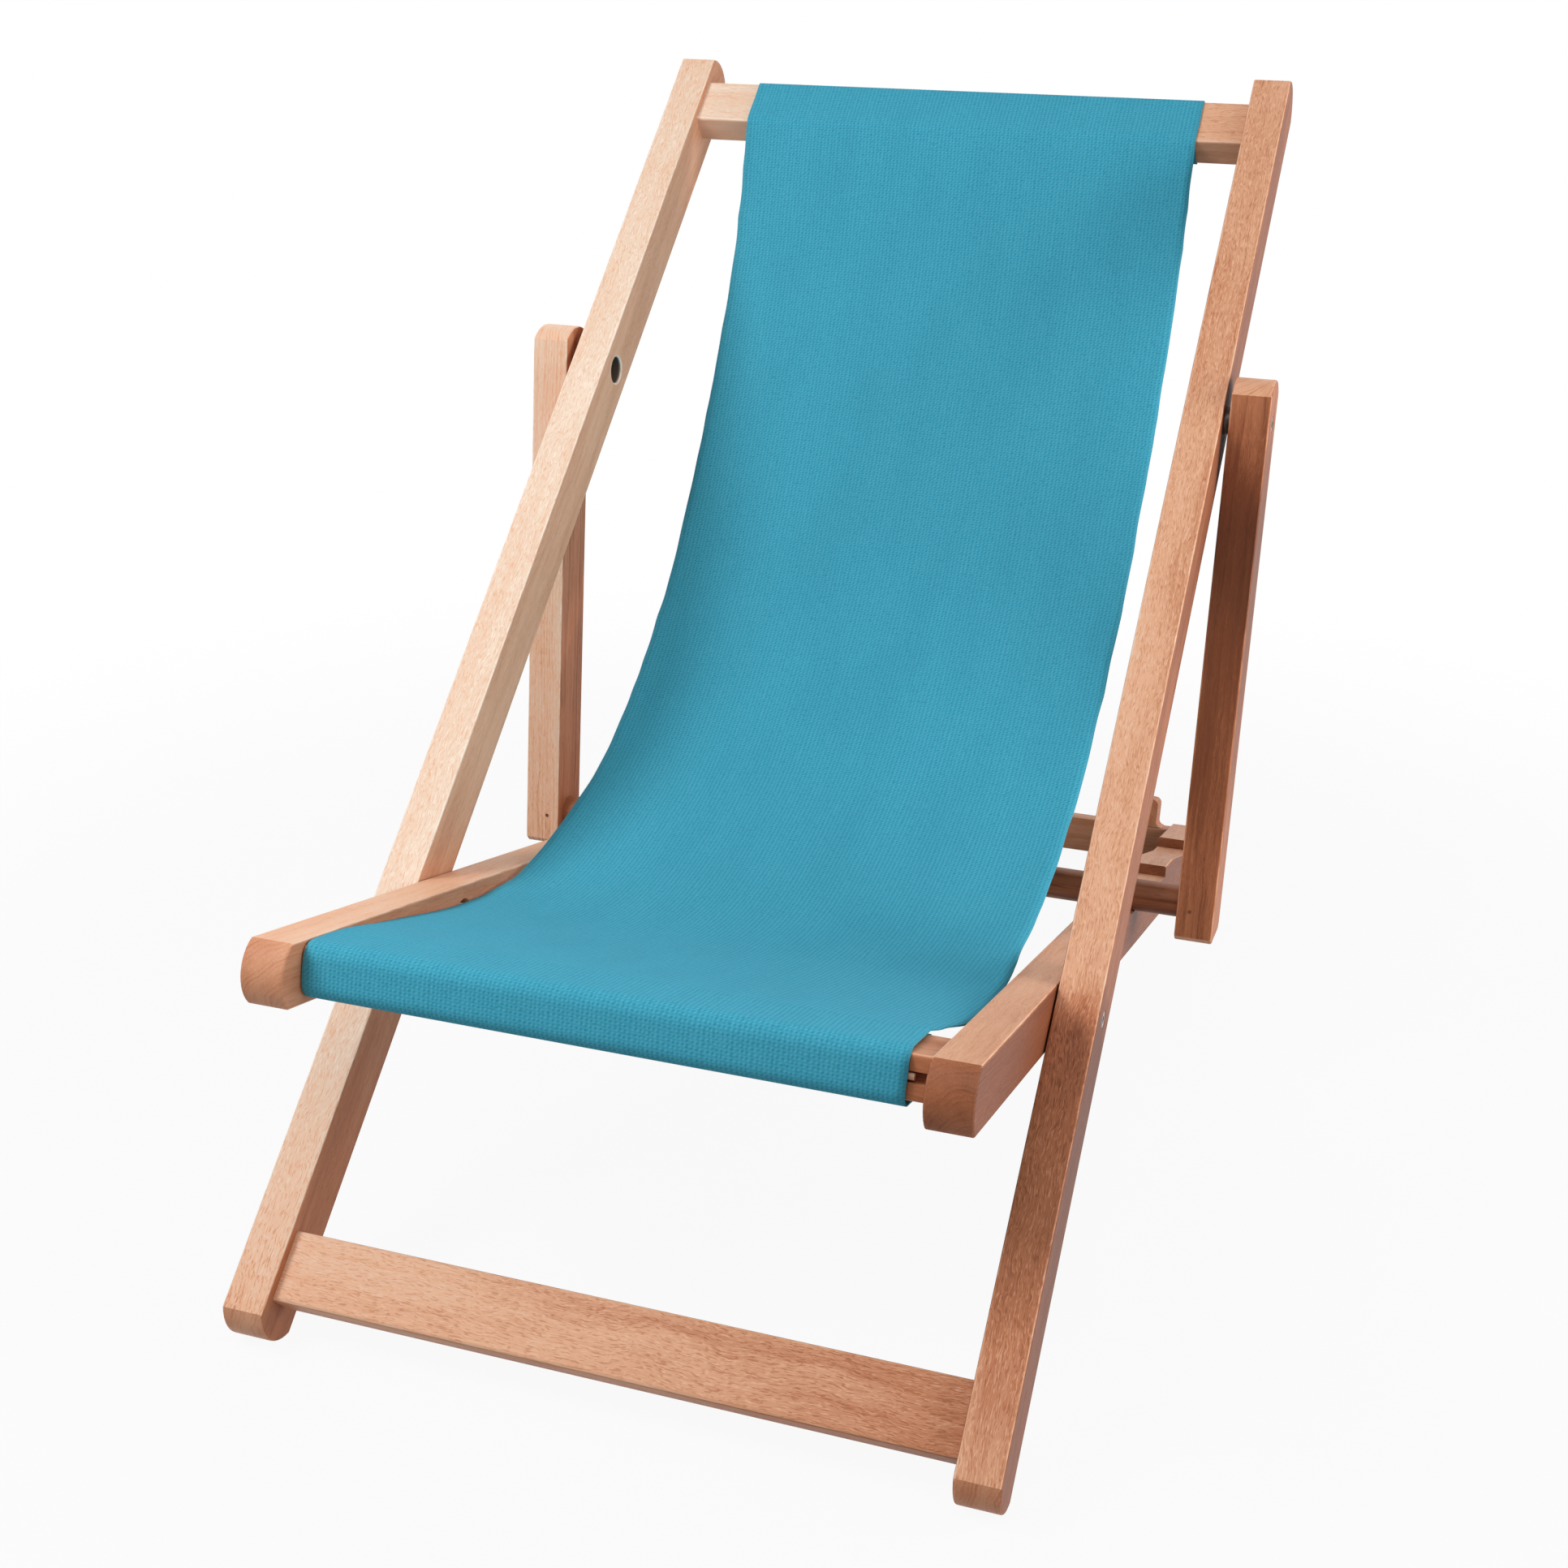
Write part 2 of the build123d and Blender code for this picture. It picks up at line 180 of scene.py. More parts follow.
class Shader(Nodes):
    """A new material's nodes round its main shader."""

    def __init__(self, name):
        self.material = bpy.data.materials.new(name)
        self.material.use_nodes = True
        super().__init__(self.material.node_tree)
        self.surface = self.tree.nodes["Principled BSDF"]

    def bump(self, height, strength, distance):
        inputs = {"Height": height, "Strength": strength, "Distance": distance}
        node = self.add("ShaderNodeBump", inputs)
        self.plug(self.surface.inputs["Normal"], node.outputs[0])

    def set(self, **inputs):
        """Set the main shader's sockets, named with _ for each space."""
        for name, value in inputs.items():
            self.plug(self.surface.inputs[name.replace("_", " ")], value)


# Beech colours, linear, by tone from the palest to the brownest, and painted shade inside a hole
BEECH = [
    (-0.7, (0.97, 0.83, 0.70)),
    (0.0, (0.86, 0.645, 0.49)),
    (1.0, (0.82, 0.445, 0.272)),
    (2.0, (0.52, 0.19, 0.085)),
    (3.0, (0.22, 0.065, 0.025)),
    (4.0, (0.12, 0.032, 0.012)),
]
HOLE_SHADE_COLOUR = (0.055, 0.022, 0.010, 1)

# What the grain adds to the tone, with the painted shadow of the flecks and the painted edge highlight
CLOUD_TONE = 0.18
STREAK_TONE = 0.85
FIBRE_TONE = 0.26
# Painted shadow beside each pale fleck, which makes the flecks look raised
FLECK_SHADOW_TONE = 0.62
SPARK_TONE = -0.66
RING_TONE = 0.35
END_RING_TONE = 0.60
PORE_TONE = -0.25
# Painted highlight on the long edges and round the nut pocket's rim
EDGE_HIGHLIGHT_TONE = -1.25

# Grain noise, per millimetre along the stick, through its depth and across its width
BEND_GRAIN = (0.018, 0.008, 0.008)
WAVER_GRAIN = (0.10, 0.05, 0.05)
CLOUD_GRAIN = (0.007, 0.05, 0.05)
STREAK_GRAIN = (0.0035, 0.20, 0.20)
FIBRE_GRAIN = (0.035, 1.7, 1.7)
FLECK_GRAIN = (0.16, 1.10, 1.10)
SWAY_GRAIN = (0.006, 0.05, 0.05)
PATCH_GRAIN = (0.01, 0.09, 0.09)
PORE_GRAIN = (0.5, 1.6, 1.6)
RAGGED_GRAIN = (0.05, 0.4, 0.4)
YEAR_GRAIN = (0.73, 1, 1)
COARSE = 0.6

# Where that noise starts to show as a mark, and where the mark is full
CLOUD_FROM = (0.3, 0.7)
STREAK_FROM = (0.48, 0.75)
FIBRE_FROM = (0.45, 0.75)
FLECK_FROM = (0.53, 0.66)
PORE_FROM = (0.4, 0.7)
RAGGED_FROM = (0.35, 0.65)
PATCH_FROM = (0.3, 0.65)
STRONG_FROM = (0.35, 0.65)

# Shares of a mark where it is weakest and strongest
RAGGED_SHARES = (0.35, 0.9)
PATCH_SHARES = (0.25, 1.0)
STRONG_SHARES = (0.1, 1.0)
ASIDE_FLECKS = 0.25
# How fully the painted shade darkens the inside of the nut pocket
POCKET_SHADE = 0.92

# A year's ring darkens over this share of the year and ends over that one
RING_RISE = (0.1, 0.88)
RING_FALL = (1.0, 0.92)

# How squarely a face has to look along the stick, or along its figured axis, to count as such
END_FACING = (0.35, 0.75)
FIGURE_FACING = (0.5, 0.9)

# Grain sizes in millimetres
BEND_SIZE = 9.0
WAVER_SIZE = 2.2
RING_WIDTH = 2.7
RING_SWAY = 11.0
RING_SLANT = 0.004
# Band of the painted edge highlight: where it starts and where it is full, in from the edge
EDGE_HIGHLIGHT_BAND = (1.7, 0.4)
FLECK_SHADOW = (0.8, 0.55, 0.55)
# Nut pocket: the band of its painted rim highlight, the wall where its painted shade begins, and how far in
# that shade grows full
POCKET_RIM = (12.0, 11.3)
POCKET_WALL = (10.8, 10.6)
POCKET_DEPTH = (0.4, 3.0)

# Relief and sheen of the finish
FIBRE_RELIEF = 0.6
FLECK_RELIEF = 0.4
GRAIN_RELIEF = 0.25 * MM
GRAIN_BUMP = 0.4
ROUGH_FROM = (0.3, 0.8)
ROUGH_BEECH = (0.45, 0.62)

# Order of the axes along the grain, through the depth and across the width, by the stick's direction
ALONG_Y = (1, 2, 0)
ALONG_X = (0, 1, 2)
DEPTH, WIDTH = 1, 2

# Rails with an open nut pocket at the strut pivot
POCKETS = {"left_outer_rail": STRUT_PIVOT, "right_outer_rail": STRUT_PIVOT}


class Stick(Shader):
    """A wooden stick's material, with its grain axes in millimetres from the stick's middle."""

    def __init__(self, node, axes, order, shift):
        super().__init__("beech_" + node)
        low, high = local_box(node, axes)
        self.axes = axes
        self.order = order
        self.middle = (low + high) / 2
        self.half = [(high - low)[axis] / 2 / MM for axis in order]
        self.source = self.add("ShaderNodeTexCoord").outputs
        inputs = {
            "Vector": self.source["Object"],
            "Location": axes @ self.middle,
            "Rotation": axes.to_euler(),
            "Scale": (MM, MM, MM),
        }
        place = self.add("ShaderNodeMapping", inputs, vector_type="TEXTURE").outputs[0]
        spread = self.parts(place)
        self.along, self.deep, self.wide = (spread[axis] for axis in order)
        self.log = self.vector(self.total(self.along, shift), self.deep, self.wide)
        self.below_deep = self.minus(self.half[DEPTH], self.math("ABSOLUTE", self.deep))
        self.below_wide = self.minus(self.half[WIDTH], self.math("ABSOLUTE", self.wide))

    def facing(self, axis):
        """How squarely the surface looks along one of the stick's axes."""
        direction = self.axes.to_3x3().col[axis]
        return self.math("ABSOLUTE", self.vector_math("DOT_PRODUCT", self.source["Normal"], direction))

    def shifted(self, place, shift):
        """A place moved by the same amount in depth and width."""
        return self.vector_math("ADD", place, self.vector(0, shift, shift))

    def by_length(self, value, knots):
        """A value that changes along the stick as the knots say."""
        for (start, before), (stop, after) in zip(knots, knots[1:]):
            spots = [self.half[0] * (2 * share - 1) for share in (start, stop)]
            value = self.total(value, self.span(self.along, *spots, 0.0, after - before))
        return value

    def year_rings(self, pith):
        """Uneven year rings round a pith line beside the stick."""
        from_pith = self.vector(self.minus(self.deep, pith[0]), self.minus(self.wide, pith[1]), 0)
        sway = self.times(self.noise(self.log, SWAY_GRAIN), RING_SWAY)
        sway = self.math("MULTIPLY_ADD", self.along, RING_SLANT, sway)
        reach = self.total(self.vector_math("LENGTH", from_pith), sway)
        age = self.math("DIVIDE", reach, RING_WIDTH)
        year = self.math("FRACT", age)
        strong = self.noise(self.vector(self.math("FLOOR", age), 0, 0), YEAR_GRAIN, 0)
        patch = self.noise(self.log, PATCH_GRAIN)
        ring = self.times(self.step(year, *RING_RISE), self.step(year, *RING_FALL))
        ring = self.times(ring, self.step(strong, *STRONG_FROM, *STRONG_SHARES))
        return self.times(ring, self.step(patch, *PATCH_FROM, *PATCH_SHARES))

    def edge_highlight(self, grain):
        """Painted highlight along the four long edges, where their rounding catches the light, ragged like
        wear.
        """
        to_edge = self.math("MAXIMUM", self.below_deep, self.below_wide)
        ragged = self.noise(grain, RAGGED_GRAIN, 3)
        return self.times(self.step(to_edge, *EDGE_HIGHLIGHT_BAND), self.step(ragged, *RAGGED_FROM, *RAGGED_SHARES))

    def from_pocket(self, pivot):
        """Distance from the line of a pivot across the stick."""
        hole = (self.axes.inverted() @ pivot - self.middle) / MM
        off = self.vector(self.minus(self.along, hole[self.order[0]]), self.deep, 0)
        return self.vector_math("LENGTH", off)


def beech(node, axes, order, figured, pith, shift, tones, sides, end, flecks, sparks, streaks, rings):
    """Solid beech cut from a log: rings round a pith line beside the stick, streaks, pale ray flecks with a
    painted shadow beside each, fibres, and a painted highlight along the edges. figured is the axis whose
    faces show the flecks, tones the tones at shares of its length, which carry painted light and shade,
    sides the painted shade that the other faces add to them and end what end grain adds, partly painted
    light and shade."""
    stick = Stick(node, axes, order, shift)
    on_end = stick.step(stick.facing(order[0]), *END_FACING)
    figure = stick.step(stick.facing(order[figured]), *FIGURE_FACING)
    rays = stick.math("MULTIPLY_ADD", figure, 1 - ASIDE_FLECKS, ASIDE_FLECKS)

    bend = stick.noise(stick.log, BEND_GRAIN, 1)
    grain = stick.shifted(stick.log, stick.math("MULTIPLY_ADD", bend, BEND_SIZE, -BEND_SIZE / 2))
    wavy = stick.shifted(grain, stick.times(stick.noise(stick.log, WAVER_GRAIN, 1), WAVER_SIZE))
    beside = stick.vector_math("ADD", wavy, FLECK_SHADOW)
    cloud = stick.noise(grain, CLOUD_GRAIN, 3)
    streak = stick.noise(grain, STREAK_GRAIN, 3, COARSE)
    fibre = stick.noise(grain, FIBRE_GRAIN, 2, COARSE)
    pore = stick.noise(stick.log, PORE_GRAIN, 2, COARSE)
    spark = stick.times(rays, stick.step(stick.noise(wavy, FLECK_GRAIN, 1), *FLECK_FROM))
    # dark flecks: the pale ones moved aside, a painted shadow beside each
    shadow_fleck = stick.times(rays, stick.step(stick.noise(beside, FLECK_GRAIN, 1), *FLECK_FROM))
    ring = stick.year_rings(pith)

    tone = stick.step(cloud, *CLOUD_FROM, tones[0][1] - CLOUD_TONE, tones[0][1] + CLOUD_TONE)
    tone = stick.by_length(tone, tones)
    face_tone = stick.total(
        tone,
        # painted shade on the side faces
        stick.times(stick.step(figure, 1.0, 0.0), stick.by_length(sides[0][1], sides)),
        stick.step(streak, *STREAK_FROM, 0.0, STREAK_TONE * streaks),
        stick.step(fibre, *FIBRE_FROM, 0.0, FIBRE_TONE),
        stick.times(ring, RING_TONE * rings),
        stick.times(shadow_fleck, FLECK_SHADOW_TONE * flecks),
        stick.times(spark, SPARK_TONE * sparks),
    )
    # End grain: darker end grain in part, and in part painted light and shade set stick by stick (the left
    # seat rail's nose painted darker)
    end_tone = stick.total(
        tone,
        stick.step(pore, *PORE_FROM, end, end + PORE_TONE),
        stick.times(ring, END_RING_TONE * rings),
    )
    tone = stick.math("MULTIPLY_ADD", on_end, stick.minus(end_tone, face_tone), face_tone)
    # painted highlight along the long edges
    tone = stick.math("MULTIPLY_ADD", stick.edge_highlight(grain), EDGE_HIGHLIGHT_TONE, tone)
    # Nut pocket: a painted highlight round its rim and painted shade inside the hole
    if node in POCKETS:
        off = stick.from_pocket(POCKETS[node])
        tone = stick.total(tone, stick.step(off, *POCKET_RIM, 0.0, EDGE_HIGHLIGHT_TONE))
    colour = stick.ramp(tone, BEECH)
    if node in POCKETS:
        hole_shade = stick.step(stick.below_wide, *POCKET_DEPTH, 0.0, POCKET_SHADE)
        colour = stick.mix(stick.times(stick.step(off, *POCKET_WALL), hole_shade), colour, HOLE_SHADE_COLOUR)

    raised = stick.minus(stick.times(spark, sparks), stick.times(shadow_fleck, flecks))
    height = stick.math("MULTIPLY_ADD", fibre, FIBRE_RELIEF, stick.times(raised, FLECK_RELIEF))
    stick.bump(height, GRAIN_BUMP, GRAIN_RELIEF)
    stick.set(Base_Color=colour, Roughness=stick.step(fibre, *ROUGH_FROM, *ROUGH_BEECH))
    stick.set(IOR=1.45, Specular_IOR_Level=0.3)
    return stick.material


# Tones along the sticks, by the share of their length from the low end, the front, the chair's right or,
# on a strut, its top. They hold the wood's own tone and painted light and shade: the sticks on the chair's
# right, where the key light comes from, are painted paler and those on its left browner.
# Left outer rail: a painted shadow of the seat rail and sling, darkest just below their crossing and fading
# towards the foot
OUTER_LEFT_SHADOWED = ((0, 1.32), (0.10, 1.88), (0.262, 2.50), (0.295, 1.12), (0.50, 0.98), (0.75, 1.28), (1, 1.17))
OUTER_RIGHT = (
    (0, 0.85),
    (0.10, 0.35),
    (0.17, 0.02),
    (0.33, -0.05),
    (0.66, -0.18),
    (0.92, -0.12),
    (1, 0.20),
)
# Top bar and foot board: browner towards the chair's left, partly a painted fall-off of the light
TOP_BAR = ((0, -0.22), (1, 1.15))
FOOT_BOARD = ((0, 0.85), (0.5, 1.10), (1, 1.80))
SEAT_LEFT = ((0, 1.20), (0.5, 1.25), (1, 1.40))
SEAT_RIGHT = ((0, 0.75), (1, 1.00))
# Front bar: browner towards the chair's left, partly a painted fall-off of the light
FRONT_BAR = ((0, 1.20), (1, 1.65))
# Rear bar and stop blocks: painted browner for the shade under the seat
REAR_BAR_SHADED = ((0, 1.45), (1, 1.55))
STOP_LEFT_SHADED = ((0, 1.80), (1, 1.85))
STOP_RIGHT_SHADED = ((0, 1.40), (1, 1.45))
# Left strut: browner all along, partly painted shade, with a painted shadow of the outer rail below its top
STRUT_LEFT_SHADOWED = ((0, 2.20), (0.25, 3.35), (0.6, 2.90), (1, 2.25))
STRUT_RIGHT = ((0, 0.17), (1, 0.60))
# Dowel: painted browner for the shade under the seat
DOWEL_SHADED = ((0, 2.40), (1, 2.60))
SLING_ROD = ((0, 0.60), (1, 0.65))

# Painted shade on the faces beside the figured ones: what it adds to their tone along the stick
# Right outer rail: painted shade on its side faces, deepest low down under the seat
OUTER_RIGHT_SIDE_SHADE = ((0, 1.30), (0.17, 1.80), (0.40, 1.22), (1, 1.30))
# Top bar: painted shade on its lower faces, less of it towards the chair's left
TOP_BAR_SIDE_SHADE = ((0, 0.70), (1, 0.10))


def all_along(tone):
    """The same tone over the whole length."""
    return ((0, tone),)


# How the sticks of each frame are cut
OUTER_RAIL = dict(axes=OUTER, order=ALONG_Y, figured=DEPTH)
OUTER_BAR = dict(axes=OUTER, order=ALONG_X, figured=WIDTH)
SEAT_RAIL = dict(axes=SEAT, order=ALONG_Y, figured=DEPTH)
SEAT_BAR = dict(axes=SEAT, order=ALONG_X, figured=WIDTH)
STRUT_RAIL = dict(axes=STRUT, order=ALONG_Y, figured=DEPTH)
STRUT_BAR = dict(axes=STRUT, order=ALONG_X, figured=WIDTH)

# Each wooden node: its cut, the pith line beside it and its shift along the log in millimetres, its tones
# with their painted light and shade, the painted shade on its side faces, what its end grain adds, partly
# painted light and shade, and how marked its dark flecks (painted shadows beside the pale ones), pale
# flecks, streaks and rings are
WOOD = {
    "left_outer_rail": dict(
        OUTER_RAIL, pith=(6, 64), shift=0, tones=OUTER_LEFT_SHADOWED, sides=all_along(1.6), end=0.4,
        flecks=0.7, sparks=0.65, streaks=0.4, rings=0.8,
    ),
    "right_outer_rail": dict(
        OUTER_RAIL, pith=(-8, 70), shift=900, tones=OUTER_RIGHT, sides=OUTER_RIGHT_SIDE_SHADE, end=0.6,
        flecks=1.1, sparks=0.6, streaks=0.25, rings=0.6,
    ),
    "top_bar": dict(
        OUTER_BAR, pith=(38, -22), shift=2100, tones=TOP_BAR, sides=TOP_BAR_SIDE_SHADE, end=0.6,
        flecks=0.7, sparks=0.4, streaks=0.5, rings=0.5,
    ),
    "foot_board": dict(
        OUTER_BAR, pith=(-44, 30), shift=3000, tones=FOOT_BOARD, sides=all_along(0.5), end=0.6,
        flecks=0.8, sparks=0.5, streaks=0.35, rings=0.5,
    ),
    "left_seat_rail": dict(
        SEAT_RAIL, pith=(-24, 14), shift=4200, tones=SEAT_LEFT, sides=all_along(1.85), end=1.50,
        flecks=0.2, sparks=0.2, streaks=0.3, rings=0.45,
    ),
    "right_seat_rail": dict(
        SEAT_RAIL, pith=(-45, 45), shift=5300, tones=SEAT_RIGHT, sides=all_along(0.9), end=0.9,
        flecks=0.2, sparks=0.2, streaks=0.3, rings=0.6,
    ),
    "front_bar": dict(
        SEAT_BAR, pith=(34, -30), shift=6300, tones=FRONT_BAR, sides=all_along(0.4), end=0.5,
        flecks=0.2, sparks=0.2, streaks=0.6, rings=0.5,
    ),
    "rear_bar": dict(
        SEAT_BAR, pith=(30, 38), shift=7100, tones=REAR_BAR_SHADED, sides=all_along(0.2), end=0.3,
        flecks=0.1, sparks=0.1, streaks=0.6, rings=0.5,
    ),
    "left_stop_block": dict(
        SEAT_RAIL, pith=(25, 30), shift=7900, tones=STOP_LEFT_SHADED, sides=all_along(0.3), end=0.0,
        flecks=0.1, sparks=0.1, streaks=0.5, rings=0.5,
    ),
    "right_stop_block": dict(
        SEAT_RAIL, pith=(-25, 30), shift=8300, tones=STOP_RIGHT_SHADED, sides=all_along(0.3), end=0.0,
        flecks=0.1, sparks=0.1, streaks=0.5, rings=0.5,
    ),
    "left_strut": dict(
        STRUT_RAIL, pith=(30, -42), shift=8800, tones=STRUT_LEFT_SHADOWED, sides=all_along(0.0), end=-1.0,
        flecks=0.2, sparks=0.2, streaks=0.6, rings=1.0,
    ),
    "right_strut": dict(
        STRUT_RAIL, pith=(-14, 46), shift=9700, tones=STRUT_RIGHT, sides=all_along(1.55), end=0.3,
        flecks=0.6, sparks=0.5, streaks=0.5, rings=2.2,
    ),
    "strut_dowel": dict(
        STRUT_BAR, pith=(9, 6), shift=10600, tones=DOWEL_SHADED, sides=all_along(0.0), end=0.2,
        flecks=0.0, sparks=0.0, streaks=0.8, rings=0.5,
    ),
    "front_sling_rod": dict(
        SEAT_BAR, pith=(4, 3), shift=11500, tones=SLING_ROD, sides=all_along(0.0), end=0.2,
        flecks=0.2, sparks=0.2, streaks=0.3, rings=0.5,
    ),
}

# Metals: their bright and dull colours, linear, and how rough they are where bright
ZINC_STEEL = ((0.46, 0.45, 0.43, 1), (0.27, 0.26, 0.25, 1), 0.30)
DARK_STEEL = ((0.16, 0.14, 0.13, 1), (0.07, 0.06, 0.055, 1), 0.45)
BROWN_IRON = ((0.20, 0.085, 0.040, 1), (0.10, 0.042, 0.022, 1), 0.50)
DULL_ROUGHER = 0.18

# Metal noise, per metre, and the height of the turning marks
PATCH_NOISE = (220, 220, 220)
MARKS_NOISE = (4000, 900, 900)
MARKS_RELIEF = 0.05 * MM


def metal(name, bright, dull, rough):
    """Metal with fine turning marks and dull patches."""
    shader = Shader(name)
    place = shader.add("ShaderNodeTexCoord").outputs["Object"]
    patch = shader.noise(place, PATCH_NOISE, 3)
    marks = shader.noise(place, MARKS_NOISE, 2)
    colour = shader.mix(shader.step(patch, 0.35, 0.7), bright, dull)
    shader.bump(marks, 0.25, MARKS_RELIEF)
    shader.set(Base_Color=colour, Roughness=shader.step(patch, 0.3, 0.7, rough, rough + DULL_ROUGHER))
    shader.set(Metallic=1.0)
    return shader.material


# Canvas colours, linear
CANVAS_WARP = (0.062, 0.404, 0.560, 1)
CANVAS_WEFT = (0.053, 0.359, 0.505, 1)
CANVAS_GAP = (0.018, 0.175, 0.270, 1)
CANVAS_LIGHT = (0.125, 0.510, 0.670, 1)

# Steps of the weave, and how strong its ribs, picks and diagonals are
RIB_STEP = 3.0 * MM
PICK_STEP = 2.0 * MM
TWILL_STEP = 3.4 * MM
THREAD_STEP = 1.0 * MM
RIB_SHARE = 0.40
PICK_SHARE = 0.30
TWILL_SHARE = 0.30

# Canvas noise, per metre across and along the cloth, and how far it shifts the weave, in radians
DRIFT_NOISE = (90, 16, 0)
SKIP_NOISE = (150, 90, 0)
SLUB_NOISE = (700, 60, 0)
SPECK_NOISE = (520, 430, 0)
BLOT_NOISE = (26, 9, 0)
DRIFT_SHIFT = 6.0
SKIP_SHIFT = 7.0

# Height of the weave, and the shares of its parts
WEAVE_RELIEF = 0.22 * MM
WEAVE_HEIGHT = 0.6
THREAD_HEIGHT = 0.25
SLUB_HEIGHT = 0.6


def canvas():
    """Cotton canvas: grouped warp ribs crossed by the weft, fine threads, slubs and paler edges."""
    shader = Shader("canvas")
    cloth = shader.add("ShaderNodeAttribute", attribute_name="cloth").outputs["Vector"]
    across, along, to_edge = shader.parts(cloth)

    def wave(place, size, wander):
        return shader.math("SINE", shader.math("MULTIPLY_ADD", place, 2 * math.pi / size, wander))

    drift = shader.times(shader.noise(cloth, DRIFT_NOISE), DRIFT_SHIFT)
    skip = shader.times(shader.noise(cloth, SKIP_NOISE), SKIP_SHIFT)
    rib = wave(across, RIB_STEP, drift)
    pick = wave(along, PICK_STEP, skip)
    twill = wave(shader.total(across, along), TWILL_STEP, drift)
    thread = shader.times(wave(across, THREAD_STEP, drift), wave(along, THREAD_STEP, skip))
    weave = shader.total(
        shader.times(rib, RIB_SHARE),
        shader.times(pick, PICK_SHARE),
        shader.times(twill, TWILL_SHARE),
    )
    slub = shader.noise(cloth, SLUB_NOISE)
    speck = shader.noise(cloth, SPECK_NOISE, 1)
    blot = shader.noise(cloth, BLOT_NOISE, 3)

    # Layers of colour: what shows them, where they start and are full, their strength and their colour
    layers = [
        (thread, -0.3, 0.4, 1.00, CANVAS_WARP),
        (weave, 0.1, 0.9, 0.50, CANVAS_LIGHT),
        (weave, -0.1, -0.9, 0.55, CANVAS_GAP),
        (slub, 0.5, 0.8, 0.25, CANVAS_LIGHT),
        (speck, 0.55, 0.75, 0.35, CANVAS_GAP),
        (blot, 0.35, 0.75, 0.10, CANVAS_GAP),
        (to_edge, 2.0 * MM, 0.4 * MM, 0.30, CANVAS_LIGHT),
    ]
    colour = CANVAS_WEFT
    for value, start, full, strength, layer in layers:
        colour = shader.mix(shader.step(value, start, full, 0.0, strength), colour, layer)
    height = shader.total(
        shader.times(weave, WEAVE_HEIGHT),
        shader.times(thread, THREAD_HEIGHT),
        shader.times(slub, SLUB_HEIGHT),
    )
    shader.bump(height, 0.45, WEAVE_RELIEF)
    shader.set(Base_Color=colour, Roughness=shader.step(slub, 0.2, 0.8, 0.82, 0.94))
    shader.set(Sheen_Weight=0.03, Sheen_Roughness=0.5, Specular_IOR_Level=0.08)
    return shader.material


# Sling: its hung line in the outer frame, along the rail from the seat pivot and in front of it
SLING_HANG = [
    (0.664, -0.032),
    (0.611, -0.0615),
    (0.492, -0.107),
    (0.365, -0.138),
    (0.227, -0.136),
    (0.141, -0.106),
    (0.067, -0.061),
    (0.014, -0.0045),
    (-0.041, 0.082),
]

# Where its two edges lie across the chair, by the share of the way from the top bar to the front bar
SLING_LEFT = [(0.0, -0.1820), (1.0, -0.1965)]
SLING_RIGHT = [
    (0.0, 0.1920),
    (0.74, 0.1850),
    (0.82, 0.1900),
    (0.89, 0.1945),
    (0.95, 0.1955),
    (0.985, 0.1880),
    (1.0, 0.1830),
]
SLING_THICK = 1.1 * MM

# Hems: how far they stand off the bars, sag, round the corners, and tuck and leave at their ends
HEM_OFF_TOP = 1.0 * MM
HEM_OFF_FRONT = 2.6 * MM
HEM_SAG_TOP = 0.0
HEM_SAG_FRONT = 1.8 * MM
HEM_ROUND_TOP = 4.0 * MM
HEM_ROUND_FRONT = 10.0 * MM
HEM_TUCK = 3.4 * MM
HEM_LEAVE = 2.5 * MM

# Fineness of the mesh
HEM_STEP = 1.4 * MM
HANG_STEP = 5.0 * MM
COLUMNS = 56
ARC_STEPS = 6
BEZIER_STEPS = 24
LOWER_RIGHT, UPPER_RIGHT, UPPER_LEFT, LOWER_LEFT = range(4)

# How the hung cloth departs from its line: slow ripples, fluttering edges and wavy edge lines, each with
# its size, its noise per metre and its own part of the noise
RIPPLE = 1.2 * MM
RIPPLE_ACROSS = 9
RIPPLE_ALONG = 5
RIPPLE_PART = 0.7
FLUTTER = 1.6 * MM
FLUTTER_REACH = 12 * MM
FLUTTER_ALONG = 34
FLUTTER_PART = 3.1
EDGE_WAVE = 1.3 * MM
EDGE_WAVE_REACH = 25 * MM
EDGE_WAVE_ALONG = 26
EDGE_WAVE_PART = 5.2
LEFT_EDGE_PART = 8.5
RIGHT_EDGE_PART = 1.5


def hem_corners(node, axes, away, sag, radius):
    """The box round a bar's section and its four corner arcs, each counter-clockwise."""
    low, high = local_box(node, axes)
    x0, x1 = low.y - away, high.y + away
    y0, y1 = low.z - away - sag, high.z + away
    left, right = x0 + radius, x1 - radius
    bottom, top = y0 + radius, y1 - radius
    arcs = []
    for corner, (x, y) in enumerate(((right, bottom), (right, top), (left, top), (left, bottom))):
        angles = [math.radians(90 * (corner - 1 + part / ARC_STEPS)) for part in range(ARC_STEPS + 1)]
        arcs.append([Vector((x + radius * math.cos(a), y + radius * math.sin(a))) for a in angles])
    return (x0, x1, y1), arcs


def resampled(points, step):
    """The same line with evenly spaced points."""
    spans = [(b - a).length for a, b in zip(points, points[1:])]
    total = sum(spans)
    count = round(total / step)
    result = []
    index = 0
    done = 0.0
    for place in range(count + 1):
        want = total * place / count
        while index < len(spans) - 1 and done + spans[index] < want:
            done += spans[index]
            index += 1
        result.append(points[index].lerp(points[index + 1], (want - done) / spans[index]))
    return result


